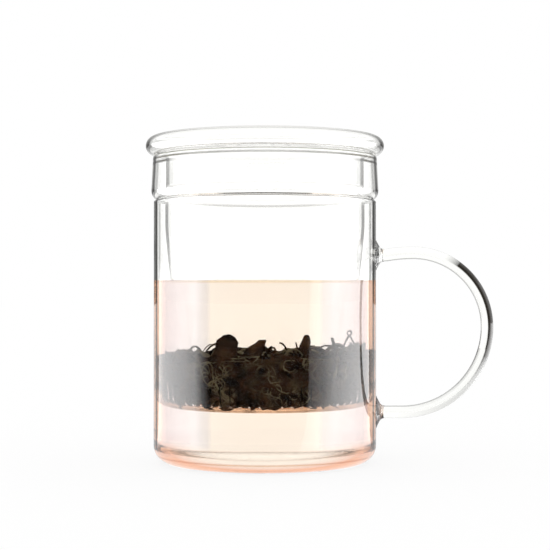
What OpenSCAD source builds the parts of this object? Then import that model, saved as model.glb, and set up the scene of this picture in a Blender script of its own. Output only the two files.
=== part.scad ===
// Glass tea mug with a hanging glass infuser and a loose glass lid.
// Millimetres, +Z up. The origin is the centre of the mug's base, on the surface it stands on,
// and the handle points along +X.

/* [Mug body] */
// Outside radius of the mug's wall
mug_r = 43; // [40:0.5:47]
// Height of the mug's rim
mug_h = 101; // [94:0.5:115]
// Thickness of the mug's wall
mug_wall = 1.2; // [1:0.1:2]
// Thickness of the mug's floor
mug_floor = 2; // [1.5:0.1:4]
// Outside radius of the corner between wall and base
mug_corner_r = 7; // [4:0.5:10]

/* [Handle] */
// Diameter of the handle's rod
rod_d = 4.8; // [4:0.1:7]
// Length of the lower arm's straight stretch, from its weld to its bend
lower_arm_len = 6.3; // [2:0.1:15]
// Height of the lower arm's centre line
handle_low_z = 19.4; // [14:0.1:26]
// Height from the lower arm's to the upper arm's centre line
handle_h = 61.6; // [54:0.2:72]
// Radius of the upper bend's centre line
upper_bend_r = 28.6; // [26:0.2:32]
// Radius of the gentle curve of the upper arm
arm_curve_r = 60; // [40:1:120]
// Radius of the flare that fuses the rod to the wall
weld_flare_r = 3.8; // [2.5:0.1:4.5]

/* [Infuser] */
// Clear gap between the basket's straight neck and the mug's wall
basket_gap = 3.2; // [2:0.1:5]
// How far the basket's underside hangs below the mug's rim
basket_depth = 79.6; // [70:0.2:88]
// Height of the basket's straight neck below the mug's rim
neck_h = 11; // [6:0.5:20]
// How far the basket's wall draws in from the neck to the foot
basket_draw = 6.9; // [3:0.1:9]
// Thickness of the basket's wall
basket_wall = 1.2; // [1:0.1:1.8]
// Thickness of the basket's floor
basket_floor = 1.5; // [1.2:0.1:3]
// Outside radius of the corner between the basket's wall and its underside
basket_corner_r = 4; // [3:0.1:6]
// Number of slits
slit_count = 54; // [30:2:64]
// Width of one slit
slit_w = 0.8; // [0.5:0.1:1.2]
// Height of one slit
slit_h = 7.6; // [4:0.2:14]
// How far the collar stands out past the mug's wall
collar_overhang = 1.2; // [0.6:0.1:2]
// How far the collar's wall leans in from its foot to its rim
collar_lean = 0.9; // [0:0.1:1.5]
// Thickness of the collar's wall and shoulder
collar_wall = 1.3; // [1:0.1:1.8]
// Outside radius of the collar's rounded shoulder
shoulder_r = 4.5; // [3.5:0.1:6]
// Height of the collar from the middle of its shoulder's curve to its rim
collar_h = 13.1; // [12:0.1:18]

/* [Lid] */
// How far the rolled edge stands out past the collar's foot
lid_overhang = 1.9; // [1:0.1:4]
// Outside thickness of the lid's rolled edge
lid_h = 7.3; // [6:0.1:9]
// Thickness of the lid's glass
lid_wall = 1.2; // [1:0.1:1.6]
// Clear gap between the plug ring and the collar's rim
plug_gap = 3.7; // [2:0.1:4.4]
// How far the plug ring hangs below the lid's underside
plug_h = 12.7; // [6:0.1:13]
// Thickness of the plug ring
plug_wall = 1.2; // [1:0.1:1.6]

/* [Tea leaves] */
// Depth of the leaves at the basket's wall
leaf_edge_h = 18.5; // [8:0.5:26]
// How much higher the heap is in its middle
leaf_crown_h = 1; // [0.5:0.5:8]

/* [Fits] */
// Gap between a loose glass piece and the rim that it rests on
seat_gap = 0.3; // [0.1:0.05:0.5]
// Gap between the leaves and the glass around them
leaf_gap = 0.3; // [0.2:0.05:0.5]

/* [Hidden] */
$fn = 96;

glass_colour = [0.86, 0.92, 0.9, 0.45];
leaf_colour = [0.24, 0.15, 0.1];
cut_over = 1; // how far a cut runs past the face that it opens
fine_fn = 256; // for the wide curve that the small welds are cut by
heap_fn = 1440; // for the very wide curve of the leaves' top

// Mug
mug_inner_r = mug_r - mug_wall;
mug_rim_r = mug_wall / 2;
mug_rim_centre = [mug_r - mug_rim_r, mug_h - mug_rim_r];

// Handle: its centre line lies in the XZ plane
rod_r = rod_d / 2;
weld_step = 0.1; // the weld's end is this much wider than the rod
weld_lip = 0.4; // the flare stops this far short of lying flat on the wall
weld_end_x = mug_r + weld_flare_r;
lower_bend_r = handle_h - upper_bend_r;
lower_bend_x = weld_end_x + lower_arm_len;
upper_bend_x = lower_bend_x + lower_bend_r - upper_bend_r;
bend_z = handle_low_z + lower_bend_r;
arm_centre_z = bend_z + upper_bend_r - arm_curve_r;
arm_angle = asin((upper_bend_x - weld_end_x) / arm_curve_r);
arm_spare_angle = 2;
arm_end_z = arm_centre_z + arm_curve_r * cos(arm_angle);

// Infuser
neck_r = mug_inner_r - basket_gap;
basket_z = mug_h - basket_depth;
neck_z = mug_h - neck_h;
taper = atan(basket_draw / (neck_z - basket_z));
collar_foot_r = mug_r + collar_overhang;
shoulder_centre_r = collar_foot_r - shoulder_r;
// The shoulder's round underside rests on the round rim, seat_gap apart
shoulder_z = mug_rim_centre[1] + sqrt(
    pow(shoulder_r + mug_rim_r + seat_gap, 2) - pow(mug_rim_centre[0] - shoulder_centre_r, 2));
basket_top_z = shoulder_z - shoulder_r;
collar_rim_r = collar_wall / 2;
collar_top_z = shoulder_z + collar_h;
collar_rim_outer_r = collar_foot_r - collar_lean;

// Lid
lid_z = collar_top_z + seat_gap;
lid_edge_r = lid_h / 2;
lid_edge_centre_r = collar_foot_r + lid_overhang - lid_edge_r;
plug_r = collar_rim_outer_r - collar_wall - plug_gap;

// Tea leaves
leaf_side_inset = basket_wall + leaf_gap;
leaf_z = basket_z + basket_floor + leaf_gap;
leaf_top_z = leaf_z + leaf_edge_h + leaf_crown_h;
leaf_dome_r = (pow(neck_r, 2) + pow(leaf_crown_h, 2)) / (2 * leaf_crown_h);

// Half outline of a straight tumbler of radius r whose foot is rounded by corner
module tumbler_outline(r, h, corner) {
    square([r - corner, h]);
    translate([0, corner]) square([r, h - corner]);
    translate([r - corner, corner]) circle(corner);
}

// Half outline of the tapered basket, drawn in by side at its wall and raised by floor_up at its foot
module basket_outline(side, floor_up, top_z) {
    foot_z = basket_z + floor_up;
    foot_r = neck_r - basket_draw + floor_up * tan(taper) - side / cos(taper);
    corner = basket_corner_r - side;
    corner_centre = [foot_r - corner * (1 - sin(taper)) / cos(taper), foot_z + corner];
    bend_r = neck_r - side;
    bend_up_z = neck_z + side * tan(taper / 2);
    translate(corner_centre) circle(corner);
    polygon([
        [0, foot_z],
        [corner_centre[0], foot_z],
        corner_centre + corner * [cos(taper), -sin(taper)],
        [bend_r, bend_up_z],
        [bend_r, top_z],
        [0, top_z]
    ]);
}

module mug_body() {
    color(glass_colour) rotate_extrude() {
        difference() {
            tumbler_outline(mug_r, mug_rim_centre[1], mug_corner_r);
            translate([0, mug_floor]) tumbler_outline(mug_inner_r, mug_h, mug_corner_r - mug_wall);
        }
        translate(mug_rim_centre) circle(mug_rim_r);
    }
}

// Stretch of the rod along a circle in the XZ plane, from one angle to another
module rod_bend(centre_x, centre_z, bend_r, from_angle, turn) {
    translate([centre_x, 0, centre_z]) rotate([90, 0, 0]) rotate([0, 0, from_angle])
        rotate_extrude(angle = turn) translate([bend_r, 0]) circle(rod_r);
}

module handle_rod() {
    color(glass_colour) {
        rod_bend(upper_bend_x, bend_z, upper_bend_r, 0, 90);
        rod_bend(lower_bend_x, bend_z, lower_bend_r, -90, 90);
        translate([weld_end_x, 0, handle_low_z]) rotate([0, 90, 0])
            cylinder(h = lower_arm_len, r = rod_r);
        // The upper arm runs a little past the weld's upright face and is cut off there
        difference() {
            rod_bend(upper_bend_x, arm_centre_z, arm_curve_r, 90, arm_angle + arm_spare_angle);
            translate([weld_end_x - rod_d, -rod_d, arm_end_z - rod_d])
                cube([rod_d, 2 * rod_d, 2 * rod_d]);
        }
    }
}

// Flared gob around the X axis at height z, from the mug's wall to the rod's end
module rod_weld(z) {
    end_r = rod_r + weld_step;
    flare_top_r = end_r + weld_flare_r - weld_lip;
    difference() {
        translate([weld_end_x, 0, z]) rotate([0, -90, 0]) rotate_extrude() difference() {
            square([flare_top_r, weld_flare_r + mug_wall]);
            translate([end_r + weld_flare_r, 0]) circle(weld_flare_r);
        }
        cylinder(h = mug_h, r = mug_r, $fn = fine_fn);
    }
}

module handle_upper_weld() {
    color(glass_colour) rod_weld(arm_end_z);
}

module handle_lower_weld() {
    color(glass_colour) rod_weld(handle_low_z);
}

module infuser_basket() {
    slit_foot = 0.4;
    color(glass_colour) difference() {
        rotate_extrude() difference() {
            basket_outline(0, 0, basket_top_z);
            basket_outline(basket_wall, basket_floor, basket_top_z + cut_over);
        }
        for (i = [0:slit_count - 1])
            rotate([0, 0, i * 360 / slit_count])
                translate([neck_r / 2, -slit_w / 2, basket_z + basket_floor + slit_foot])
                    cube([neck_r / 2 + cut_over, slit_w, slit_h]);
    }
}

module infuser_collar() {
    bend_inner_r = shoulder_r - collar_wall;
    shoulder_inner_r = neck_r - basket_wall;
    color(glass_colour) rotate_extrude() {
        // Rounded shoulder, open inwards
        intersection() {
            translate([shoulder_centre_r, shoulder_z]) difference() {
                circle(shoulder_r);
                circle(bend_inner_r);
            }
            translate([shoulder_centre_r, basket_top_z]) square(shoulder_r);
        }
        // Flat ring from the basket's bore to the shoulder
        translate([shoulder_inner_r, basket_top_z])
            square([shoulder_centre_r - shoulder_inner_r, collar_wall]);
        // Leaning wall and round rim
        polygon([
            [collar_foot_r - collar_wall, shoulder_z],
            [collar_foot_r, shoulder_z],
            [collar_rim_outer_r, collar_top_z - collar_rim_r],
            [collar_rim_outer_r - collar_wall, collar_top_z - collar_rim_r]
        ]);
        translate([collar_rim_outer_r - collar_rim_r, collar_top_z - collar_rim_r])
            circle(collar_rim_r);
    }
}

module tea_leaves() {
    color(leaf_colour) rotate_extrude() intersection() {
        basket_outline(leaf_side_inset, basket_floor + leaf_gap, leaf_top_z);
        translate([0, leaf_top_z - leaf_dome_r]) circle(leaf_dome_r, $fn = heap_fn);
        square([mug_r, mug_h]);
    }
}

// Half outline of the lid's hollow, rolled disc at a depth of inset under its skin
module lid_outline(inset) {
    translate([0, lid_z + inset]) square([lid_edge_centre_r, lid_h - 2 * inset]);
    translate([lid_edge_centre_r, lid_z + lid_edge_r]) circle(lid_edge_r - inset);
}

module lid_dome() {
    color(glass_colour) rotate_extrude() intersection() {
        difference() {
            lid_outline(0);
            lid_outline(lid_wall);
            translate([0, lid_z - cut_over]) square([plug_r - plug_wall, lid_wall + 2 * cut_over]);
        }
        translate([0, lid_z - cut_over]) square([mug_r * 2, lid_h + 2 * cut_over]);
    }
}

module lid_plug_ring() {
    end_r = plug_wall / 2;
    color(glass_colour) rotate_extrude() {
        translate([plug_r - plug_wall, lid_z - plug_h + end_r]) square([plug_wall, plug_h - end_r]);
        translate([plug_r - end_r, lid_z - plug_h + end_r]) circle(end_r);
    }
}

mug_body();
handle_rod();
handle_upper_weld();
handle_lower_weld();
infuser_basket();
infuser_collar();
tea_leaves();
lid_dome();
lid_plug_ring();
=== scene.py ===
import math
import random

import bmesh
import bpy
from mathutils import Matrix, Vector


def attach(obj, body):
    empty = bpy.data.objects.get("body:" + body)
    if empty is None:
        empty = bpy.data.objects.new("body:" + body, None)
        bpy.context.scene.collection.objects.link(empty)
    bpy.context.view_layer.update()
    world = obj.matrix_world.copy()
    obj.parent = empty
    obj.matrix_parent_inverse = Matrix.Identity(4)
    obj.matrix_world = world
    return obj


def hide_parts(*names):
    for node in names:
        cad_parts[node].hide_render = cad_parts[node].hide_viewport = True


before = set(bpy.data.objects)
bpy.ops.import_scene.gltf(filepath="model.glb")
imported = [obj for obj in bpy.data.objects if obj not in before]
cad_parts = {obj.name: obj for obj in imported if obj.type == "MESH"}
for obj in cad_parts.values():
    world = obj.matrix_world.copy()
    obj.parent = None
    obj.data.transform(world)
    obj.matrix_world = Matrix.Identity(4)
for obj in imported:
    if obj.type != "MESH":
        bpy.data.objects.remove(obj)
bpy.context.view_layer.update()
scene = bpy.context.scene
scene.view_settings.view_transform = "Standard"

# ---------------------------------------------------------------- viewpoint
# A long lens, level with the middle of the mug, about six mug heights away.
eye = bpy.data.cameras.new("eye")
eye.sensor_width = 36
eye.lens = 97.7
eye.clip_start, eye.clip_end = 0.05, 20
eye_stand = bpy.data.objects.new("eye", eye)
eye_stand.location = (0.0039, -0.579, 0.0666)
eye_stand.rotation_euler = (math.radians(90.576), 0, 0)
scene.collection.objects.link(eye_stand)
scene.camera = eye_stand
# Light crosses up to a dozen glass walls before it reaches the eye.
scene.cycles.max_bounces = 60
scene.cycles.transmission_bounces = 56
scene.cycles.glossy_bounces = 14
scene.cycles.transparent_max_bounces = 8

# ------------------------------------------------------------------- studio
# A white tent seen straight or through glass. What glass throws back is a dim
# room with a bright ceiling and floor, and two tall soft boxes stand left and
# right for the long highlights down the walls.
SOFTBOX_LIGHT, PAPER_BY_BOX = 1.0, 6.0
LOST_PER_WALL = 1.036  # what one crossing of glass throws away, given back
ROOM_DARK, ROOM_BRIGHT, GAP = 0.005, 0.95, 0.17
# the dim ring round the bright wall: (how far back a direction points, share)
RING = ((0.82, 0.0), (0.855, 1.0), (0.975, 1.0), (0.988, 0.0))
WIDE_RING = ((0.77, 0.0), (0.81, 1.0), (0.986, 1.0), (0.994, 0.0))
WHITE = (1, 1, 1)
GLASS_CAST = (0.978, 0.98, 0.955)  # the faint cast of the glass itself
JUST_OVER_ONE = 1.0001  # keeps 1 less a square above zero


def open_tree(tree):
    """Makes this the node tree that is being built."""
    global nodes, links
    nodes, links = tree.nodes, tree.links


def sums(operation, first, second=None, third=None, clamp=False):
    """One step of arithmetic in the node tree that is being built."""
    node = nodes.new("ShaderNodeMath")
    node.operation = operation
    node.use_clamp = clamp
    for slot, value in zip(node.inputs, (first, second, third)):
        if isinstance(value, (int, float)):
            slot.default_value = value
        elif value is not None:
            links.new(value, slot)
    return node.outputs[0]


def times(product, *others):
    """The product of two or more values."""
    for value in others:
        product = sums("MULTIPLY", product, value)
    return product


def inverse(share):
    """0 for 1 and 1 for 0."""
    return sums("SUBTRACT", 1.0, share)


def between(value, low, high):
    """1 where the value lies between low and high, and 0 elsewhere."""
    return times(sums("GREATER_THAN", value, low), sums("LESS_THAN", value, high))


def slope(value, zero, one):
    """A share that is 0 where the value is zero, 1 where it is one, and even in between."""
    rise = 1 / (one - zero)
    return sums("MULTIPLY_ADD", value, rise, -zero * rise, clamp=True)


def from_to(share, first, last):
    """A value that goes from first to last as the share goes from 0 to 1."""
    return sums("MULTIPLY_ADD", share, last - first, first)


def distance(across, along):
    """The length of a slanting line from its two parts."""
    return sums("SQRT", sums("ADD", times(across, across), times(along, along)))


def steps(value, *stops):
    """A colour ramp over a value: (place, grey or colour)."""
    ramp = nodes.new("ShaderNodeValToRGB")
    elements = ramp.color_ramp.elements
    elements.remove(elements[1])
    for index, (at, shade) in enumerate(stops):
        element = elements[0] if index == 0 else elements.new(at)
        element.position = at
        element.color = (*shade, 1) if isinstance(shade, tuple) else (shade, shade, shade, 1)
    links.new(value, ramp.inputs["Fac"])
    return ramp.outputs["Color"]


def blend(share, first, second, how="MIX"):
    """Two colours joined by the second one's share. Each is a tuple or comes from a node."""
    node = nodes.new("ShaderNodeMix")
    node.data_type, node.blend_type = "RGBA", how
    for label, value in (("Factor", share), ("A", first), ("B", second)):
        if isinstance(value, tuple):
            node.inputs[label].default_value = (*value, 1)
        else:
            links.new(value, node.inputs[label])
    return node.outputs["Result"]


def split(vector):
    """The X, Y and Z of a vector."""
    parts = nodes.new("ShaderNodeSeparateXYZ")
    links.new(vector, parts.inputs[0])
    return parts.outputs


def soft_boxes(back, right):
    """Light of the two soft boxes. back: how far round to the back, -1 to 1; right: across."""
    share = steps(
        slope(back, -1.0, 1.0),
        (0.155, 0.0), (0.16, 0.2), (0.25, 0.5), (0.325, 0.8), (0.365, 1.0), (0.5, 1.05),
        (0.57, 1.02), (0.67, 0.84), (0.735, 0.72), (0.8, 0.57), (0.876, 0.47), (0.89, 0.0),
    )
    right_hand = sums("GREATER_THAN", right, 0.0)
    left_start = sums("MAXIMUM", slope(back, -0.52, -0.27), right_hand)
    right_end = sums("MAXIMUM", sums("LESS_THAN", back, 0.70), inverse(right_hand))
    return times(share, left_start, right_end, from_to(right_hand, 1.0, 1.1))


tent = bpy.data.worlds.new("white_tent")
tent.use_nodes = True
scene.world = tent
open_tree(tent.node_tree)
nodes.clear()
path = nodes.new("ShaderNodeLightPath").outputs
crossed = path["Transmission Depth"]
way = split(nodes.new("ShaderNodeTexCoord").outputs["Generated"])
# how far round from the front a direction points, as a cosine
level = sums("SQRT", sums("SUBTRACT", JUST_OVER_ONE, times(way["Z"], way["Z"])))
boxes = soft_boxes(sums("DIVIDE", way["Y"], level), way["X"])
boxes = times(boxes, sums("LESS_THAN", way["Z"], 0.5), sums("LESS_THAN", crossed, 0.5))
# what glass throws back is dim on the side that the viewer stands on
lit = slope(way["Y"], -0.64, -0.24)
# and past the edges of the bright wall behind the object
walls = between(crossed, 3.5, 4.5)
ring = sums("MAXIMUM", steps(way["Y"], *RING), times(steps(way["Y"], *WIDE_RING), walls))
least = times(from_to(slope(way["Z"], 0.06, 0.0933), GAP, GAP + 0.2), from_to(walls, 1.0, 0.3))
# but it is bright upwards after five crossings, and all round after twelve
deep = times(sums("GREATER_THAN", crossed, 4.5), sums("GREATER_THAN", way["Z"], 0.17))
lit = times(lit, sums("MAXIMUM", inverse(times(ring, inverse(least))), deep))
lit = sums("MAXIMUM", lit, sums("GREATER_THAN", crossed, 11.5))
room = times(from_to(lit, ROOM_DARK, ROOM_BRIGHT), from_to(deep, 1.0, 1.22))
tent_white = sums("POWER", LOST_PER_WALL, crossed)
bounced = sums("GREATER_THAN", path["Glossy Depth"], 0.5)
seen = sums("ADD", times(room, bounced), inverse(bounced))
low_down = slope(way["Z"], 0.02, 0.0057)
boxes = times(boxes, bounced, from_to(low_down, SOFTBOX_LIGHT, PAPER_BY_BOX))
sky = nodes.new("ShaderNodeBackground")
sky_out = nodes.new("ShaderNodeOutputWorld")
links.new(blend(sums("GREATER_THAN", crossed, 0.5), WHITE, GLASS_CAST), sky.inputs["Color"])
links.new(sums("MULTIPLY_ADD", seen, tent_white, boxes), sky.inputs["Strength"])
links.new(sky.outputs[0], sky_out.inputs["Surface"])

# The floor: white paper that keeps only a breath of the object's shadow.
SHADOW_SHARE = 0.12  # how much of the paper's white a shadow can take away
BOX_LEAN = 0.024  # metres that the soft boxes' sectors are moved to the back
bm = bmesh.new()
bmesh.ops.create_grid(bm, x_segments=2, y_segments=2, size=6)
paper_mesh = bpy.data.meshes.new("paper_floor")
bm.to_mesh(paper_mesh)
bm.free()
paper = bpy.data.objects.new("paper_floor", paper_mesh)
paper.location = (0, 0, -0.0001)
scene.collection.objects.link(paper)
paper_white = bpy.data.materials.new("paper_white")
paper_white.use_nodes = True
open_tree(paper_white.node_tree)
nodes.clear()
path = nodes.new("ShaderNodeLightPath").outputs
crossed = path["Transmission Depth"]
straight = sums("LESS_THAN", sums("ADD", path["Glossy Depth"], path["Diffuse Depth"]), 0.5)
tent_white = sums("POWER", LOST_PER_WALL, crossed)
spot = split(nodes.new("ShaderNodeTexCoord").outputs["Object"])
first_sheen = sums("LESS_THAN", crossed, 0.5)
# in what the outside of the glass throws back, the paper's glow is painted dark in front of the object
reach = sums("MAXIMUM", slope(spot["Y"], -0.24, -0.04), inverse(first_sheen))
dull = times(inverse(straight), reach)
# two sectors of the paper glow brighter where the glass throws back its view of them: painted pools of the
# soft boxes' light
far = distance(spot["X"], spot["Y"])
back = sums("DIVIDE", spot["Y"], far)
sector = soft_boxes(sums("ADD", back, sums("DIVIDE", BOX_LEAN, far)), spot["X"])
sector = times(sector, first_sheen, sums("GREATER_THAN", path["Glossy Depth"], 0.5))
pool = steps(sums("DIVIDE", far, 3.0), (0.03, 0.08), (0.045, 1.0))
sector = times(sector, pool, PAPER_BY_BOX)
# and far off its glow is painted dim where the bright wall ends
ring = times(steps(back, *WIDE_RING), between(crossed, 1.5, 4.5), sums("GREATER_THAN", far, 0.8))
dull = times(dull, from_to(ring, 1.0, 0.3 * GAP), tent_white, from_to(first_sheen, 1.0, 0.83))
plain = times(straight, sums("SUBTRACT", tent_white, SHADOW_SHARE))
glow = nodes.new("ShaderNodeEmission")
links.new(sums("ADD", sums("ADD", plain, sector), dull), glow.inputs["Strength"])
links.new(blend(first_sheen, GLASS_CAST, WHITE), glow.inputs["Color"])
shade = nodes.new("ShaderNodeBsdfDiffuse")
links.new(times(straight, SHADOW_SHARE), shade.inputs["Color"])
bright_sheet = nodes.new("ShaderNodeAddShader")
paper_out = nodes.new("ShaderNodeOutputMaterial")
links.new(glow.outputs[0], bright_sheet.inputs[0])
links.new(shade.outputs[0], bright_sheet.inputs[1])
links.new(bright_sheet.outputs[0], paper_out.inputs["Surface"])
paper_mesh.materials.append(paper_white)

# -------------------------------------------------------------------- mug
# The outer vessel: one straight-sided cup of clear borosilicate glass, blown
# thin, with a heavy flat base, a rounded heel and a fire-polished rim.
MM = 0.001  # sizes from here on are in mm
MUG_R, MUG_H, MUG_WALL, MUG_BASE = 43, 101, 1.2, 2.0
MUG_HEEL_R = 7.0
GLASS_IOR, TEA_IOR = 1.47, 1.333
TEA_TOP = 70.3
WET_LOSS = 0.93  # a crossing under the tea gives back less than one in air
# painted tea colours for the heel and for the fold low on it, and for the line where the tea's edge meets the
# glass
PAINTED_HEEL_TEA, PAINTED_FOLD_TEA, PAINTED_TEA_EDGE = (0.84, 0.29, 0.16), (0.6, 0.33, 0.19), (0.8, 0.7, 0.55)
LONG_STRAIGHT, CLOSE_RING = 3.0, 0.4


def turned(corners, sides, rings=()):
    """A shape turned on the z axis from its section: (radius, height, rounding) in mm."""
    section = bmesh.new()
    points = [section.verts.new((r * MM, 0, z * MM)) for r, z, _ in corners]
    section.faces.new(points)
    for size in sorted({c[2] for c in corners if c[2]}):
        chosen = [p for p, c in zip(points, corners) if c[2] == size]
        bmesh.ops.bevel(
            section,
            geom=chosen,
            offset=size * MM,
            offset_type="OFFSET",
            segments=max(4, min(16, round(size * 5))),
            profile=0.5,
            affect="VERTICES",
            material=-1,
        )
    bmesh.ops.remove_doubles(section, verts=section.verts, dist=0.00001)
    bmesh.ops.delete(section, geom=section.faces, context="FACES_ONLY")
    # a close ring at both ends of each long straight keeps the walls true
    for edge in [e for e in section.edges if e.calc_length() > LONG_STRAIGHT * MM]:
        first, last = edge.verts
        near = bmesh.utils.edge_split(edge, first, CLOSE_RING * MM / edge.calc_length())[1]
        rest = next(e for e in near.link_edges if last in e.verts)
        bmesh.utils.edge_split(rest, last, CLOSE_RING * MM / rest.calc_length())
    bmesh.ops.delete(
        section,
        geom=[e for e in section.edges if all(abs(v.co.x) < 1e-7 for v in e.verts)],
        context="EDGES",
    )
    bmesh.ops.spin(
        section,
        geom=section.verts[:] + section.edges[:],
        cent=(0, 0, 0),
        axis=(0, 0, 1),
        dvec=(0, 0, 0),
        angle=math.tau,
        steps=sides,
        use_merge=True,
    )
    bmesh.ops.remove_doubles(section, verts=section.verts, dist=0.000002)
    for height in rings:
        bmesh.ops.bisect_plane(
            section,
            geom=section.verts[:] + section.edges[:] + section.faces[:],
            plane_co=(0, 0, height * MM),
            plane_no=(0, 0, 1),
            dist=1e-7,
        )
    bmesh.ops.recalc_face_normals(section, faces=section.faces)
    return section


def finished(bm, name, *materials):
    """The piece as an object at the origin, smooth shaded."""
    mesh = bpy.data.meshes.new(name)
    bm.to_mesh(mesh)
    bm.free()
    for polygon in mesh.polygons:
        polygon.use_smooth = True
    for material in materials:
        mesh.materials.append(material)
    piece = bpy.data.objects.new(name, mesh)
    scene.collection.objects.link(piece)
    return piece


def fill(node, values):
    """Sets inputs of a node by their names."""
    for label, value in values.items():
        node.inputs[label].default_value = value


# Slow waves and faint grain of hand-worked glass, shared by every glass piece.
hand_blown = bpy.data.node_groups.new("hand_blown", "ShaderNodeTree")
hand_blown.interface.new_socket("Place", in_out="INPUT", socket_type="NodeSocketVector")
for label, start in (("Wave", 40.0), ("Grain", 900.0), ("Least", 0.0), ("Most", 0.02)):
    socket = hand_blown.interface.new_socket(label, in_out="INPUT", socket_type="NodeSocketFloat")
    socket.default_value = start
for label in ("Height", "Roughness"):
    hand_blown.interface.new_socket(label, in_out="OUTPUT", socket_type="NodeSocketFloat")
open_tree(hand_blown)
given = nodes.new("NodeGroupInput").outputs
group_out = nodes.new("NodeGroupOutput")
wave = nodes.new("ShaderNodeTexNoise")
fill(wave, {"Detail": 1.0})
grain = nodes.new("ShaderNodeTexNoise")
fill(grain, {"Detail": 2.0})
spread = nodes.new("ShaderNodeMapRange")
fill(spread, {"From Min": 0.45, "From Max": 0.75})
for value, socket in (
    (given["Place"], wave.inputs["Vector"]),
    (given["Place"], grain.inputs["Vector"]),
    (given["Wave"], wave.inputs["Scale"]),
    (given["Grain"], grain.inputs["Scale"]),
    (grain.outputs["Fac"], spread.inputs["Value"]),
    (given["Least"], spread.inputs["To Min"]),
    (given["Most"], spread.inputs["To Max"]),
    (wave.outputs["Fac"], group_out.inputs["Height"]),
    (spread.outputs["Result"], group_out.inputs["Roughness"]),
):
    links.new(value, socket)


def edgewise():
    """0 where a surface is seen straight on, 1 where it is seen along itself."""
    glance = nodes.new("ShaderNodeLayerWeight")
    fill(glance, {"Blend": 0.5})
    return glance.outputs["Facing"]


def clear_glass(name, ramp=(), steepness=3.0, wave_scale=40, wave_height=0.00006, ior=GLASS_IOR, body=1.0):
    """Clear borosilicate. ramp: (edgewise, brightness) stops for painted dark lines along the glancing edges,
    in place of the dark room that they would show; these show on upright walls and fade where the glass lies
    flat."""
    glass = bpy.data.materials.new(name)
    glass.use_nodes = True
    open_tree(glass.node_tree)
    surface = nodes["Principled BSDF"]
    fill(surface, {"Transmission Weight": 1.0, "IOR": ior, "Metallic": 0.0})
    fill(surface, {"Base Color": (body, body, body, 1)})
    place = nodes.new("ShaderNodeTexCoord").outputs
    worked = nodes.new("ShaderNodeGroup")
    worked.node_tree = hand_blown
    fill(worked, {"Wave": wave_scale, "Grain": 900, "Least": 0.0, "Most": 0.015})
    links.new(place["Object"], worked.inputs["Place"])
    ripple = nodes.new("ShaderNodeBump")
    fill(ripple, {"Strength": 1.0, "Distance": wave_height})
    links.new(worked.outputs["Height"], ripple.inputs["Height"])
    links.new(ripple.outputs["Normal"], surface.inputs["Normal"])
    links.new(worked.outputs["Roughness"], surface.inputs["Roughness"])
    if ramp:
        painted_edge_lines = [(at, (grey, grey * (0.9 + 0.1 * grey), grey * (0.72 + 0.28 * grey))) for at, grey in ramp]
        lying = sums("ABSOLUTE", split(place["Normal"])["Z"])
        upright = sums("MULTIPLY_ADD", lying, -steepness, 1.15, clamp=True)
        links.new(blend(upright, WHITE, steps(edgewise(), *painted_edge_lines)), surface.inputs["Base Color"])
    return glass


def reopened(glass):
    """Opens the node tree of a glass again: its shader, and a point's place by axis."""
    open_tree(glass.node_tree)
    return nodes["Principled BSDF"], split(nodes["Texture Coordinate"].outputs["Object"])


def layer(surface, share, tint, how="MULTIPLY"):
    """Lays a tint over the colour that the glass has so far."""
    colour = surface.inputs["Base Color"]
    under = colour.links[0].from_socket if colour.links else tuple(colour.default_value[:3])
    links.new(blend(share, under, tint, how), colour)


def hump(value, middle, half, firm=1.0):
    """1 where the value is middle, down to 0 where it is off by half. firm: how full it is between."""
    off = sums("ABSOLUTE", sums("MULTIPLY_ADD", value, 1 / half, -middle / half))
    return sums("MULTIPLY_ADD", off, -firm, firm, clamp=True)


def outer_face():
    """1 on glass that is met from outside and 0 on glass that is met from within."""
    return inverse(nodes.new("ShaderNodeNewGeometry").outputs["Backfacing"])


# the mug's walls get painted dark lines where they are seen nearly edge on
mug_glass = clear_glass(
    "mug_glass", ((0.0, 1), (0.735, 1), (0.76, 0.015), (0.80, 0.015), (0.825, 1), (1.0, 1))
)
# painted shade and tea colour: towards the sides of the round of tea, where it bends the light away, the
# glass is painted darker and tinted, and the heavy heel and the fold low on it are painted with the colour of
# the tea that they gather
surface, spot = reopened(mug_glass)
slant, outer = edgewise(), outer_face()
painted_bend_shade = steps(
    slant,
    (0.0, 1), (0.125, 1), (0.15, (0.74, 0.76, 0.86)), (0.2, (0.62, 0.64, 0.76)),
    (0.3, (0.48, 0.44, 0.52)), (0.43, (0.31, 0.25, 0.29)), (0.54, (0.22, 0.14, 0.15)),
    (0.6, (0.3, 0.15, 0.14)), (0.64, (0.52, 0.22, 0.12)), (0.8, (0.55, 0.22, 0.12)),
)
in_tea = times(sums("LESS_THAN", spot["Z"], TEA_TOP * MM), outer, slope(spot["Z"], 6 * MM, 11 * MM))
layer(surface, in_tea, painted_bend_shade)
layer(surface, times(slope(spot["Z"], 15 * MM, 3.89 * MM), slope(slant, 0.182, 0.485)), PAINTED_HEEL_TEA)
layer(surface, times(hump(spot["Z"], 3.3 * MM, 0.6 * MM), outer), PAINTED_FOLD_TEA)
# where tea lies against the glass the step between the two is much smaller,
# and where its edge climbs the glass a painted darker amber line gives it its deeper look
mug_glass_wet = clear_glass("mug_glass_wet", ior=GLASS_IOR / TEA_IOR, body=WET_LOSS)
surface, spot = reopened(mug_glass_wet)
layer(surface, hump(spot["Z"], (TEA_TOP - 0.55) * MM, 0.5556 * MM), PAINTED_TEA_EDGE, "MIX")
mug_section = [
    (0, 0, 0),
    (MUG_R, 0, MUG_HEEL_R),
    (MUG_R, MUG_H, 0.6),
    (MUG_R - MUG_WALL, MUG_H, 0.6),
    (MUG_R - MUG_WALL, MUG_BASE, MUG_HEEL_R - MUG_WALL),
    (0, MUG_BASE, 0),
]
bm = turned(mug_section, 224, rings=(TEA_TOP,))
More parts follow.
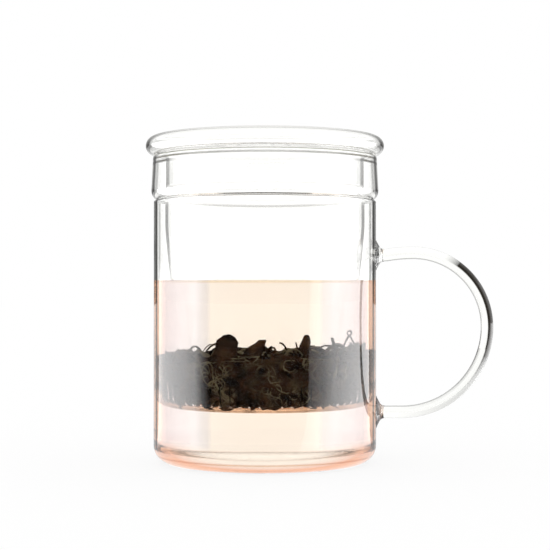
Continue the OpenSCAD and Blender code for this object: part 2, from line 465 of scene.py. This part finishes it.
# the inner faces under the tea's surface are the wet ones
for face in bm.faces:
    mid = face.calc_center_median()
    inward = face.normal.z - face.normal.dot(Vector((mid.x, mid.y, 0)).normalized())
    if inward > 0 and mid.z < TEA_TOP * MM:
        face.material_index = 1
mug = finished(bm, "mug_cup", mug_glass, mug_glass_wet)
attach(mug, "mug")
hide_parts("mug_body")

# ------------------------------------------------------------------ handle
# A solid glass rod bent to a large ear and melted onto the wall at both ends,
# where the soft glass spreads into a round pad.
ROD_R, ROD_SIDES, ROD_START_X = 2.4, 72, 46.8
LOW_Z, LOW_BEND_X = 19.4, 53.1
TOP_BEND_X, MID_Z = 57.5, 52.4
ARM_R, ARM_Z, ARM_TURN = 60.0, 21.0, 10.27
LOW_PAD_R, HIGH_PAD_R = 6.6, 6.3
SKIRT_X, SKIRT_DEPTH, SKIRT_REACH = 45.2, 1.5, 8.5
EAR_X = 55.5  # the middle of the ear, from which its bends are told apart
LOWER_EAR = -0.29  # the angle round that middle at which its lower part begins
ROD_PAINTED_DARK = (0.0008, 0.0006, 0.0004)
# the flare of a pad: (distance from the mug's axis, share of the way to its rim)
FLARE = (
    (46.1, 0.01), (45.5, 0.05), (45.0, 0.12), (44.6, 0.22), (44.3, 0.34),
    (44.0, 0.48), (43.7, 0.62), (43.4, 0.77), (43.15, 0.92), (42.5, 1.0),
)


def drawn_on(bm, edges):
    """A new ring drawn out of the end ring: its points and its edges."""
    made = bmesh.ops.extrude_edge_only(bm, edges=edges)["geom"]
    ring = [v for v in made if isinstance(v, bmesh.types.BMVert)]
    return ring, [e for e in made if isinstance(e, bmesh.types.BMEdge) and all(v in ring for v in e.verts)]


def grow(bm, edges, centre, angle, rings):
    """Carries the end ring on along an arc and gives its new edges."""
    made = bmesh.ops.spin(
        bm, geom=edges, cent=centre * MM, axis=(0, 1, 0), dvec=(0, 0, 0),
        angle=math.radians(angle), steps=rings, use_merge=False,
    )["geom_last"]
    return [e for e in made if isinstance(e, bmesh.types.BMEdge)]


def pad(bm, edges, centre, spread):
    """Flares the end ring out and sinks its rim into the wall. spread: the rim's radius."""
    at, radius = centre.x, ROD_R
    for x, share in FLARE:
        ring, edges = drawn_on(bm, edges)
        size = ROD_R + (spread - ROD_R) * share
        bmesh.ops.translate(bm, verts=ring, vec=((x - at) * MM, 0, 0))
        hub = Vector((x * MM, 0, centre.z * MM))
        bmesh.ops.scale(bm, verts=ring, vec=(1, size / radius, size / radius), space=Matrix.Translation(-hub))
        at, radius = x, size
    # the skirt follows the round wall
    for v in bm.verts:
        near = (v.co - Vector((at * MM, 0, centre.z * MM))).length
        if near < SKIRT_REACH * MM and v.co.x < SKIRT_X * MM:
            share = min(1.0, (SKIRT_X * MM - v.co.x) / (SKIRT_DEPTH * MM))
            v.co.x -= share * (MUG_R * MM - math.sqrt((MUG_R * MM) ** 2 - v.co.y ** 2))
    return edges


bm = bmesh.new()
start = Vector((ROD_START_X, 0, LOW_Z))
outwards = Vector((1, 0, 0)).to_track_quat("Z", "Y").to_matrix().to_4x4()
bmesh.ops.create_circle(
    bm, segments=ROD_SIDES, radius=ROD_R * MM, matrix=Matrix.Translation(start * MM) @ outwards
)
first_ring = bm.edges[:]
end_ring, end_edges = drawn_on(bm, first_ring)
bmesh.ops.translate(bm, verts=end_ring, vec=((LOW_BEND_X - ROD_START_X) * MM, 0, 0))
end_edges = grow(bm, end_edges, Vector((LOW_BEND_X, 0, MID_Z)), -90, 90)
end_edges = grow(bm, end_edges, Vector((TOP_BEND_X, 0, MID_Z)), -90, 80)
end_edges = grow(bm, end_edges, Vector((TOP_BEND_X, 0, ARM_Z)), -ARM_TURN, 10)
angle = math.radians(ARM_TURN)
top_end = Vector((TOP_BEND_X - ARM_R * math.sin(angle), 0, ARM_Z + ARM_R * math.cos(angle)))
# the upper arm's last ring stands square to the wall
for v in {v for e in end_edges for v in e.verts}:
    v.co.x = top_end.x * MM
low_rim = pad(bm, first_ring, start, LOW_PAD_R)
high_rim = pad(bm, end_edges, top_end, HIGH_PAD_R)
for rim in (low_rim, high_rim):
    bmesh.ops.holes_fill(bm, edges=rim, sides=0)
bmesh.ops.recalc_face_normals(bm, faces=bm.faces)
rod_glass = clear_glass("rod_glass", wave_scale=60, wave_height=0.00004)
# a painted dark band along the rod's outer flank, where the rod is seen at a slant,
# and a painted dark hairline along its inner one stand in for the dark side of the room that the rod gathers
surface, spot = reopened(rod_glass)
lie = split(nodes["Texture Coordinate"].outputs["Normal"])
slant = edgewise()
across = sums("SUBTRACT", spot["X"], EAR_X * MM)
upward = sums("SUBTRACT", spot["Z"], MID_Z * MM)
turn = sums("ARCTAN2", upward, across)
lower_ear = sums("LESS_THAN", turn, LOWER_EAR)
out = sums("ADD", times(lie["X"], across), times(lie["Z"], upward))
out = sums("DIVIDE", out, distance(across, upward))
bulge = inverse(sums("SQRT", sums("SUBTRACT", JUST_OVER_ONE, times(out, out))))
edge_on = slope(sums("SUBTRACT", slant, sums("MULTIPLY_ADD", bulge, 0.75, -0.03)), 0.0, 0.05)
flank = sums("MULTIPLY_ADD", out, 7.0, from_to(lower_ear, 0.5, 0.0), clamp=True)
top_fade = slope(turn, 1.0827, 0.8904)
low_fade = sums("MAXIMUM", slope(turn, -1.7067, -0.3733), slope(turn, -0.31, -0.285))
band = times(flank, edge_on, top_fade, low_fade)
hairline = times(
    slope(out, -0.7667, -0.85), from_to(hump(turn, -1 / 3, 2 / 3), 0.7, 1.0), slope(slant, 1 / 3, 0.5)
)
met = sums("MAXIMUM", outer_face(), lower_ear)
layer(surface, times(sums("MAXIMUM", band, hairline), met), ROD_PAINTED_DARK, "MIX")
handle = finished(bm, "handle_ear", rod_glass)
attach(handle, "mug")
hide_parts("handle_rod", "handle_upper_weld", "handle_lower_weld")

# ----------------------------------------------------------------- infuser
# A deep strainer of thin clear glass that hangs in the mug: cut slits round
# its foot, a tapered body, a straight neck, and a wide collar that seats on
# the mug's rim and carries the lid.
NECK_R, NECK_Z, INF_WALL = 38.6, 90, 1.2
FOOT_R, FOOT_Z, FLOOR_Z = 31.7, 21.4, 22.9
FLOOR_ROUND = 2.8
SEAT_Z, COLLAR_TOP, COLLAR_WALL = 100.577, 118.177, 1.3
COLLAR_FOOT_R, COLLAR_RIM_R = 44.2, 43.3
SLIT_LOW, SLIT_HIGH, SLITS = 23.3, 30.9, 54
STRIPS = 4  # strips of wall for each slit: the slit and three of solid glass
PAINTED_FOOT_TEA = (0.55, 0.25, 0.12)
# colour and strength of the painted glow that stands in for light caught in the glass
GLOW_WHITE, GLOW_STRENGTH = (0.99, 0.98, 0.95), 0.84


def middle_of(spot):
    """1 over the middle of a piece, 0 towards its left and right ends."""
    return slope(sums("ABSOLUTE", spot["X"]), 38.4 * MM, 34.4 * MM)


def glows_past_bounces(glass, most):
    """A painted glow: past so many bounces the glass gives out a near-white light of its own, in place of the
    light still caught in it.
    """
    open_tree(glass.node_tree)
    painted_glow = nodes.new("ShaderNodeEmission")
    fill(painted_glow, {"Color": (*GLOW_WHITE, 1), "Strength": GLOW_STRENGTH})
    either = nodes.new("ShaderNodeMixShader")
    depth = nodes.new("ShaderNodeLightPath").outputs["Ray Depth"]
    links.new(sums("GREATER_THAN", depth, most + 0.5), either.inputs["Fac"])
    links.new(nodes["Principled BSDF"].outputs[0], either.inputs[1])
    links.new(painted_glow.outputs[0], either.inputs[2])
    links.new(either.outputs[0], nodes["Material Output"].inputs["Surface"])
    glass.cycles.emission_sampling = "NONE"


# the strainer's walls get painted dark lines where they are seen nearly edge on
infuser_glass = clear_glass(
    "infuser_glass", ((0.0, 1), (0.76, 1), (0.79, 0.015), (0.86, 0.015), (0.89, 1), (1.0, 1))
)
infuser_glass_wet = clear_glass("infuser_glass_wet", ior=GLASS_IOR / TEA_IOR, body=WET_LOSS)
# the thick rounded foot is painted with the colour of the tea that it gathers
surface, spot = reopened(infuser_glass_wet)
layer(surface, times(slope(spot["Z"], 24.0 * MM, 23.286 * MM), outer_face()), PAINTED_FOOT_TEA, "MIX")
# the painted dark lines of the walls are lightened away from the two ends, and three
# more painted dark lines lie along the fire-polished bead of the collar, in place of the dark room it would
# show
surface, spot = reopened(infuser_glass)
lie = split(nodes["Texture Coordinate"].outputs["Normal"])
outward = sums("ADD", times(lie["X"], spot["X"]), times(lie["Y"], spot["Y"]))
front = times(sums("GREATER_THAN", outward, 0.0), outer_face())
slant = edgewise()
below_collar = sums("LESS_THAN", spot["Z"], 106 * MM)
layer(surface, times(middle_of(spot), below_collar, 0.8), WHITE, "MIX")
# each painted line: its height and half its width in mm, its colour, and its strength,
# which is a gain on how far the glass is seen edge on, plus a least
for middle, half, colour, gain, least in (
    (117.9, 0.4, (0.1, 0.1, 0.06), 0.9, 0.55),
    (116.65, 0.65, (0.03, 0.025, 0.015), 0.7, 0.72),
    (115.0, 0.8, (0.004, 0.003, 0.001), 4.0, -1.2),
):
    strong = sums("MULTIPLY_ADD", slant, gain, least, clamp=True)
    layer(surface, times(hump(spot["Z"], middle * MM, half * MM, 1.5), front, strong), colour)
# past fifteen bounces the strainer's glass gives out the painted glow
glows_past_bounces(infuser_glass, 15)
infuser_section = [
    (0, FOOT_Z, 0),
    (FOOT_R, FOOT_Z, 4.0),
    (NECK_R, NECK_Z, 3.0),
    (NECK_R, SEAT_Z, 1.0),
    (COLLAR_FOOT_R, SEAT_Z, 4.5),
    (COLLAR_RIM_R, COLLAR_TOP, 0.64),
    (COLLAR_RIM_R - COLLAR_WALL, COLLAR_TOP, 0.64),
    (COLLAR_FOOT_R - COLLAR_WALL, SEAT_Z + COLLAR_WALL, 3.2),
    (NECK_R - INF_WALL, SEAT_Z + COLLAR_WALL, 2.2),
    (NECK_R - INF_WALL, NECK_Z, 3.0),
    (FOOT_R - INF_WALL, FLOOR_Z, FLOOR_ROUND),
    (0, FLOOR_Z, 0),
]
bm = turned(infuser_section, SLITS * STRIPS, rings=(SLIT_LOW, SLIT_HIGH, SLIT_HIGH + 0.4, TEA_TOP))
# every fourth strip is cut out of the glass's inner and outer face between the
# slits' ends, and the two cuts are joined through the glass, with crisp edges
column = math.tau / (SLITS * STRIPS)
openings = {}
for face in bm.faces:
    mid = face.calc_center_median()
    turn = int((math.atan2(mid.y, mid.x) % math.tau) / column)
    upright = abs(face.normal.z) < 0.8
    if turn % STRIPS == 0 and upright and SLIT_LOW * MM < mid.z < SLIT_HIGH * MM:
        openings.setdefault(turn, []).append(face)
rims = []
for faces in openings.values():
    rim = {e for f in faces for e in f.edges if sum(g in faces for g in e.link_faces) == 1}
    rims.append((faces, list(rim)))
bmesh.ops.delete(bm, geom=[f for faces, _ in rims for f in faces], context="FACES_ONLY")
bmesh.ops.delete(bm, geom=[e for e in bm.edges if not e.link_faces], context="EDGES")
for _, rim in rims:
    bmesh.ops.bridge_loops(bm, edges=rim)
    for edge in rim:
        edge.smooth = False
bmesh.ops.recalc_face_normals(bm, faces=bm.faces)
for face in bm.faces:
    if face.calc_center_median().z < TEA_TOP * MM:
        face.material_index = 1
infuser = finished(bm, "infuser_cup", infuser_glass, infuser_glass_wet)
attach(infuser, "infuser")
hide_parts("infuser_basket", "infuser_collar")

# --------------------------------------------------------------------- lid
# A low hollow cap: flat top, rolled edge that turns back under, and a plug
# ring that drops into the infuser's mouth and keeps the lid centred.
LID_R, LID_LOW, LID_TOP, LID_WALL = 46.1, 118.477, 125.777, 1.2
LID_ROUND, LID_INNER_ROUND = 3.65, 2.45
PLUG_R, PLUG_LOW, PLUG_LIP = 38.3, 105.777, 0.6
# the lid's edges get painted dark lines where they are seen nearly edge on, fading only where the glass lies
# nearly flat
lid_glass = clear_glass(
    "lid_glass", ((0.0, 1), (0.64, 1), (0.76, 0.02), (0.9, 0.01), (1.0, 0.04)), steepness=1.2
)
# the painted dark lines of its top and of its plug are lightened away from the two ends
surface, spot = reopened(lid_glass)
plug_part = sums("LESS_THAN", spot["Z"], 118 * MM)
layer(surface, sums("MAXIMUM", times(middle_of(spot), 0.8), times(plug_part, 0.45)), WHITE, "MIX")
# past nine bounces the plate gives out the painted glow, in place of the light that runs along inside it
glows_past_bounces(lid_glass, 9)
lid_section = [
    (0, LID_TOP, 0),
    (LID_R, LID_TOP, LID_ROUND),
    (LID_R, LID_LOW, LID_ROUND),
    (PLUG_R, LID_LOW, 2.4),
    (PLUG_R, PLUG_LOW, PLUG_LIP),
    (PLUG_R - LID_WALL, PLUG_LOW, PLUG_LIP),
    (PLUG_R - LID_WALL, LID_LOW + LID_WALL, 3.6),
    (LID_R - LID_WALL, LID_LOW + LID_WALL, LID_INNER_ROUND),
    (LID_R - LID_WALL, LID_TOP - LID_WALL, LID_INNER_ROUND),
    (0, LID_TOP - LID_WALL, 0),
]
lid = finished(turned(lid_section, 224), "lid_cap", lid_glass)
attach(lid, "lid")
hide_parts("lid_dome", "lid_plug_ring")

# --------------------------------------------------------------------- tea
# Pale amber-rose tea that fills the mug to two thirds and stands through the
# strainer, with a free skin of its own on top.
TEA_SINK = 0.3  # how far the tea's own faces lie inside the glass
SKIN_LIFT = 0.01
TEA_COLOUR, TEA_DEPTH = (0.985, 0.66, 0.33), 5.0
tea_liquid = bpy.data.materials.new("tea_liquid")  # the body, with no step towards the glass
tea_skin = bpy.data.materials.new("tea_skin")  # its free surface in the air
for liquid, ior, bright in ((tea_liquid, 1.0, WET_LOSS), (tea_skin, TEA_IOR, 1.0)):
    liquid.use_nodes = True
    fill(liquid.node_tree.nodes["Principled BSDF"], {
        "Transmission Weight": 1.0,
        "IOR": ior,
        "Metallic": 0.0,
        "Roughness": 0.0,
        "Base Color": (bright, bright, bright, 1),
    })
open_tree(tea_liquid.node_tree)
soak = nodes.new("ShaderNodeVolumeAbsorption")
fill(soak, {"Color": (*TEA_COLOUR, 1), "Density": TEA_DEPTH})
links.new(soak.outputs[0], nodes["Material Output"].inputs["Volume"])
tea_r, tea_low = MUG_R - MUG_WALL + TEA_SINK, MUG_BASE - TEA_SINK
tea_section = [
    (0, tea_low, 0),
    (tea_r, tea_low, MUG_HEEL_R - MUG_WALL + TEA_SINK),
    (tea_r, TEA_TOP, 0),
    (0, TEA_TOP, 0),
]
bm = turned(tea_section, 224)
top = [face for face in bm.faces if face.normal.z > 0.3]
skin = bmesh.ops.duplicate(bm, geom=top)["geom"]
skin_verts = [v for v in skin if isinstance(v, bmesh.types.BMVert)]
bmesh.ops.translate(bm, verts=skin_verts, vec=(0, 0, SKIN_LIFT * MM))
for face in skin:
    if isinstance(face, bmesh.types.BMFace):
        face.material_index = 1
tea = finished(bm, "tea_drink", tea_liquid, tea_skin)
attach(tea, "mug")

# -------------------------------------------------------------- tea leaves
# Rolled black-tea leaves, swollen by the water and packed against the glass:
# a dense heart, broad wet leaves round it, and a few that stand up from it.
HEAP_TOP, HEAP_R = 41.6, 31
WALL_LEAVES, TOP_LEAVES = 430, 230
BASKET_R, TAPER = 30.4, 0.1028  # free radius at the floor, and how fast it widens upwards


def wet_leaf(name, patch_scale, patch_detail, tones, vein_scale, vein_strength, vein_height):
    """Wet tea leaf: patches of brown and fine veins, without a mirror shine."""
    leaf = bpy.data.materials.new(name)
    leaf.use_nodes = True
    open_tree(leaf.node_tree)
    surface = nodes["Principled BSDF"]
    fill(surface, {"Roughness": 0.5, "Specular IOR Level": 0.0})
    place = nodes.new("ShaderNodeTexCoord").outputs["Object"]
    patches = nodes.new("ShaderNodeTexNoise")
    fill(patches, {"Scale": patch_scale, "Detail": patch_detail})
    links.new(place, patches.inputs["Vector"])
    links.new(steps(patches.outputs["Fac"], *tones), surface.inputs["Base Color"])
    veins = nodes.new("ShaderNodeTexNoise")
    fill(veins, {"Scale": vein_scale})
    links.new(place, veins.inputs["Vector"])
    crinkle = nodes.new("ShaderNodeBump")
    fill(crinkle, {"Strength": vein_strength, "Distance": vein_height})
    links.new(veins.outputs["Fac"], crinkle.inputs["Height"])
    links.new(crinkle.outputs["Normal"], surface.inputs["Normal"])
    return leaf


leaf_brown = wet_leaf(
    "wet_leaf",
    patch_scale=170,
    patch_detail=3,
    tones=((0.36, (0.010, 0.004, 0.0018)), (0.54, (0.052, 0.020, 0.008)), (0.70, (0.095, 0.062, 0.030))),
    vein_scale=900,
    vein_strength=0.7,
    vein_height=0.0004,
)
scrap = bpy.data.meshes.new("scrap")


def rolled_leaf(heap, path, width, thick, root=0.5, tip=0.2, sides=6, crumple=0.16):
    """One rolled leaf along its path (mm): a flat ring carried on, turned, crumpled and tapered."""
    leaf = bmesh.new()
    heading = (path[1] - path[0]).normalized()
    size = root
    bmesh.ops.create_circle(leaf, cap_ends=True, segments=sides, radius=width * 0.5 * size * MM)
    leaf.faces.ensure_lookup_table()
    face = leaf.faces[0]
    bmesh.ops.scale(leaf, vec=(1, thick, 1), verts=leaf.verts)
    bmesh.ops.transform(
        leaf,
        matrix=Matrix.Translation(path[0] * MM)
        @ heading.to_track_quat("Z", "Y").to_matrix().to_4x4()
        @ Matrix.Rotation(random.uniform(0, math.tau), 4, "Z"),
        verts=leaf.verts,
    )
    last = len(path) - 1
    for index in range(1, last + 1):
        share = index / last
        swell = root + (1 - root) * min(1.0, share * 3)
        want = swell if share < 0.45 else tip + (swell - tip) * (1 - ((share - 0.45) / 0.55) ** 2.2)
        face = bmesh.ops.extrude_discrete_faces(leaf, faces=[face])["faces"][0]
        ahead = (path[min(index + 1, last)] - path[index - 1]).normalized()
        bmesh.ops.transform(
            leaf,
            matrix=Matrix.Translation(path[index] * MM)
            @ Matrix.Rotation(random.uniform(-0.4, 0.55), 4, ahead)
            @ heading.rotation_difference(ahead).to_matrix().to_4x4()
            @ Matrix.Scale(want / size, 4)
            @ Matrix.Translation(-path[index - 1] * MM),
            verts=face.verts[:],
        )
        for v in face.verts:
            v.co += (v.co - path[index] * MM) * random.uniform(-crumple, crumple)
        heading, size = ahead, want
    leaf.to_mesh(scrap)
    leaf.free()
    heap.from_mesh(scrap)


def crest(angle):
    """Height of the heap's edge: it lies lower on the side away from the handle."""
    far_side = 3.4 * max(0.0, -math.cos(angle)) ** 2
    return HEAP_TOP - far_side + 0.5 * math.sin(3 * angle + 1) + 0.35 * math.sin(8 * angle)


def strainer_r(z):
    """Free radius inside the strainer at height z."""
    low = max(0.0, FLOOR_ROUND - (z - FLOOR_Z))
    rounding = FLOOR_ROUND - math.sqrt(FLOOR_ROUND ** 2 - min(low, 2.7) ** 2)
    return BASKET_R + TAPER * (z - FLOOR_Z) - rounding


def along_wall(angle, z, heading, length, step, curl, deep, top):
    """A curling path (mm) that lies against the glass. deep: how far in it wavers."""
    path = []
    phase = random.uniform(0, math.tau)
    for index in range(max(4, int(length / step))):
        z = min(max(z, FLOOR_Z + 0.7), crest(angle) + top)
        inset = deep * (1.0 + 0.6 * math.sin(phase + index * step * 0.45))
        r = strainer_r(z) - inset
        path.append(Vector((r * math.cos(angle), r * math.sin(angle), z)))
        angle += math.cos(heading) * step / r
        z += math.sin(heading) * step
        heading += curl * step + random.gauss(0, 0.12) * step
    return path


def across_top(length, step, top):
    """A curling path (mm) over the top of the heap. top: how far over its crest it may rise."""
    angle = random.uniform(0, math.tau)
    r = (strainer_r(HEAP_TOP) - 1.5) * math.sqrt(random.random())
    top += HEAP_TOP + (crest(angle) - HEAP_TOP) * (r / HEAP_R) ** 2
    point = Vector((r * math.cos(angle), r * math.sin(angle), top - random.uniform(0.3, 2.0)))
    heading = random.uniform(0, math.tau)
    climb = random.uniform(-0.15, 0.35)
    curl = random.uniform(-0.3, 0.3)
    path = []
    for _ in range(max(4, int(length / step))):
        limit = strainer_r(point.z) - 1.2
        flat = math.hypot(point.x, point.y)
        if flat > limit:
            point.x, point.y = point.x * limit / flat, point.y * limit / flat
        path.append(point.copy())
        point = point + Vector((math.cos(heading), math.sin(heading), climb)) * step
        point.z = min(point.z, top)
        heading += curl * step
    return [p for i, p in enumerate(path) if i == 0 or (p - path[i - 1]).length > 0.3]


random.seed(41)
heap = turned([
    (0, FLOOR_Z + 0.35, 0),
    (28.8, FLOOR_Z + 0.35, 2.4),
    (30.6, HEAP_TOP - 1.2, 1.6),
    (0, HEAP_TOP - 0.9, 0),
], 120, rings=(26, 28.5, 31, 33.5, 36, 38.5))
# the heart follows the crest, and its sides are dented
for v in heap.verts:
    flat = math.hypot(v.co.x, v.co.y)
    if flat > 0.004:
        up = (v.co.z / MM - FLOOR_Z) / (HEAP_TOP - FLOOR_Z)
        drop = crest(math.atan2(v.co.y, v.co.x)) - HEAP_TOP
        v.co.z += drop * MM * max(0.0, up) * (flat / (HEAP_R * MM)) ** 2
        if up > 0.06:
            pushed = 1 - random.uniform(0, 0.035)
            v.co.x *= pushed
            v.co.y *= pushed
for _ in range(WALL_LEAVES):
    low = random.uniform(FLOOR_Z + 0.9, HEAP_TOP)
    path = along_wall(
        random.uniform(0, math.tau), low, random.uniform(0, math.tau),
        random.uniform(6, 14), 1.0, random.choice((-1, 1)) * random.uniform(0.03, 0.28),
        random.uniform(1.1, 1.8), random.uniform(-0.6, 1.3),
    )
    rolled_leaf(heap, path, random.uniform(1.3, 2.9), random.uniform(0.35, 0.75))
for _ in range(TOP_LEAVES):
    path = across_top(random.uniform(6, 13), 1.1, random.uniform(-0.5, 1.2))
    if len(path) > 3:
        rolled_leaf(heap, path, random.uniform(1.4, 3.0), random.uniform(0.4, 0.8))
# the leaves that stand up: (path in mm, width, thickness, root, tip)
for path, width, thick, root, tip in (
    (((-14, -24, 38), (-13.6, -24.6, 41), (-13, -25, 44), (-12.2, -25.2, 46.6), (-11.2, -25.2, 48.6),
      (-10.6, -25, 49.6)), 7.6, 0.62, 1.0, 0.34),
    (((-10, -25.5, 38), (-9.8, -26, 41), (-9.9, -26, 44), (-10.2, -25.6, 46.8)), 3.6, 0.7, 1.0, 0.4),
    (((-17, -23, 38.5), (-16.4, -23.6, 41.5), (-15.6, -24, 44), (-14.6, -24.2, 45.8)), 3.2, 0.7, 1.0, 0.35),
    (((-8.5, -26.5, 40), (-6.5, -27, 42.4), (-4.4, -27.4, 44.2), (-2.2, -27.6, 45.8), (-0.6, -27.6, 47),
      (0.5, -27.5, 48.2)), 4.6, 0.5, 1.0, 0.1),
    (((-3, -27, 40), (-2.2, -27.3, 43), (-1.4, -27.3, 45.4), (-1.1, -27.2, 47.2)), 3.4, 0.6, 1.0, 0.15),
    (((0.2, -27.8, 42.5), (1, -28, 44), (1.9, -28, 45.4), (2.6, -28, 46)), 1.1, 0.7, 1.0, 0.5),
    (((5.0, -27.2, 47.3), (5.9, -27.2, 46.9), (6.8, -27.2, 46), (7.3, -27.2, 44.9), (6.9, -27.2, 43.9),
      (5.9, -27.2, 43.1), (4.8, -27.2, 42.2)), 0.85, 0.8, 0.9, 0.9),
    (((12.6, -24.6, 37), (12.7, -24.8, 40), (12.9, -24.9, 43), (13.2, -24.8, 45.5), (13.7, -24.6, 47.6),
      (14, -24.5, 49), (14.1, -24.4, 50)), 4.2, 0.72, 1.0, 0.52),
    (((15.6, -23.4, 38), (15.2, -23.6, 41), (14.8, -24, 44), (14.6, -24.2, 46)), 2.8, 0.7, 1.0, 0.4),
    (((11.6, -25.4, 43), (11.1, -25.6, 44.8), (10.7, -25.7, 46.3), (10.5, -25.7, 47.4)), 0.75, 0.8, 1.0, 0.6),
    (((10.6, -25.8, 42.4), (9.9, -26, 43.6), (9.4, -26.1, 45)), 0.7, 0.8, 1.0, 0.5),
    (((10.8, -25.6, 42), (9.4, -26, 43), (7.9, -26.3, 43.8)), 1.3, 0.6, 1.0, 0.3),
    (((16.5, -22.5, 40), (17.3, -22, 42.6), (18.2, -21.4, 44.2), (19, -20.8, 44.8)), 2.4, 0.7, 1.0, 0.4),
    (((20, -20, 40.6), (20.6, -19.6, 42.6), (21.2, -19.2, 44.4)), 1.5, 0.7, 1.0, 0.5),
    (((23.5, -17, 41), (23.2, -17.4, 43.6), (22.7, -17.8, 46.2), (22.2, -18.2, 48.8)), 1.35, 0.7, 1.0, 0.95),
    (((24.6, -14.6, 41), (25, -14.2, 43.8), (25.8, -13, 46.3), (26.5, -11.8, 48.2), (27, -10.8, 49.4)),
     0.8, 0.9, 1.2, 0.9),
    (((28.6, -4.6, 41), (28.8, -5.6, 43.8), (28.2, -7.6, 46.4), (27.6, -9.2, 48.2), (27.2, -10, 49.4)),
     0.8, 0.9, 1.2, 0.9),
    (((26.6, -10.8, 40), (27, -10.2, 43), (27.4, -9.4, 45.2), (27.3, -9.4, 46.8)), 2.4, 0.5, 1.0, 0.3),
    (((29.4, 3, 40), (29.8, 2.4, 42.4), (29.9, 1.4, 44.2)), 1.1, 0.7, 1.0, 0.3),
    (((-22.5, -19.5, 40), (-23.5, -18.3, 41.6), (-24.8, -16.6, 42.2), (-26, -14.6, 42.6)),
     1.0, 0.8, 1.0, 0.5),
    (((-28.6, -3, 37), (-29.2, -1.2, 39.6), (-29.2, 0.6, 41.6), (-28.8, 2.2, 42.6)), 3.2, 0.7, 1.0, 0.5),
):
    rolled_leaf(heap, [Vector(p) for p in path], width, thick, root, tip, sides=9, crumple=0.26)
# one that curls into a ring at the right
curl_ring = [
    Vector((27.1 + 1.5 * math.cos(a) * 0.36, -10.4 + 1.5 * math.cos(a) * 0.93, 50.3 + 0.8 * math.sin(a)))
    for a in (math.tau * k / 16 - 1.6 for k in range(17))
]
rolled_leaf(heap, curl_ring, 0.85, 0.8, 0.9, 0.9)
bmesh.ops.recalc_face_normals(heap, faces=heap.faces)
leaves = finished(heap, "leaf_heap", leaf_brown)
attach(leaves, "infuser")
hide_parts("tea_leaves")

# ------------------------------------------------------------ leaf strands
# Thin stems and rolled leaf edges, paler than the leaves, that loop against
# the glass all round the heap.
CREST_TIPS, WALL_STRANDS = 120, 360
strand_brown = wet_leaf(
    "wet_strand",
    patch_scale=90,
    patch_detail=2,
    tones=((0.34, (0.026, 0.015, 0.008)), (0.49, (0.11, 0.078, 0.043)), (0.66, (0.24, 0.20, 0.115))),
    vein_scale=1200,
    vein_strength=0.5,
    vein_height=0.0002,
)
strands = bmesh.new()
# curled tips that stick out all along the crest
for _ in range(CREST_TIPS):
    around, reach = random.uniform(0, math.tau), random.uniform(25, 29)
    rise, lean = random.uniform(2.4, 5.4), random.choice((-1, 1)) * random.uniform(0.01, 0.06)
    path = [
        Vector((reach * math.cos(around + lean * k), reach * math.sin(around + lean * k),
                crest(around) - 1.2 + rise * math.sin(0.45 * k)))
        for k in range(7)
    ]
    rolled_leaf(
        strands, path, random.uniform(0.5, 1.3), random.uniform(0.6, 0.9),
        root=1.0, tip=random.uniform(0.4, 0.9), sides=5,
    )
for _ in range(WALL_STRANDS):
    path = along_wall(
        random.uniform(0, math.tau), random.uniform(FLOOR_Z + 1, HEAP_TOP), random.uniform(0, math.tau),
        random.uniform(8, 18), 0.55, random.choice((-1, 1)) * random.uniform(0.1, 0.6),
        random.uniform(0.45, 0.6), random.uniform(-1.4, 0.6),
    )
    rolled_leaf(strands, path, random.uniform(0.38, 0.58), 0.8, 0.8, 0.4, sides=5, crumple=0.08)
bmesh.ops.recalc_face_normals(strands, faces=strands.faces)
curls = finished(strands, "leaf_strands", strand_brown)
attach(curls, "infuser")
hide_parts("tea_leaves")
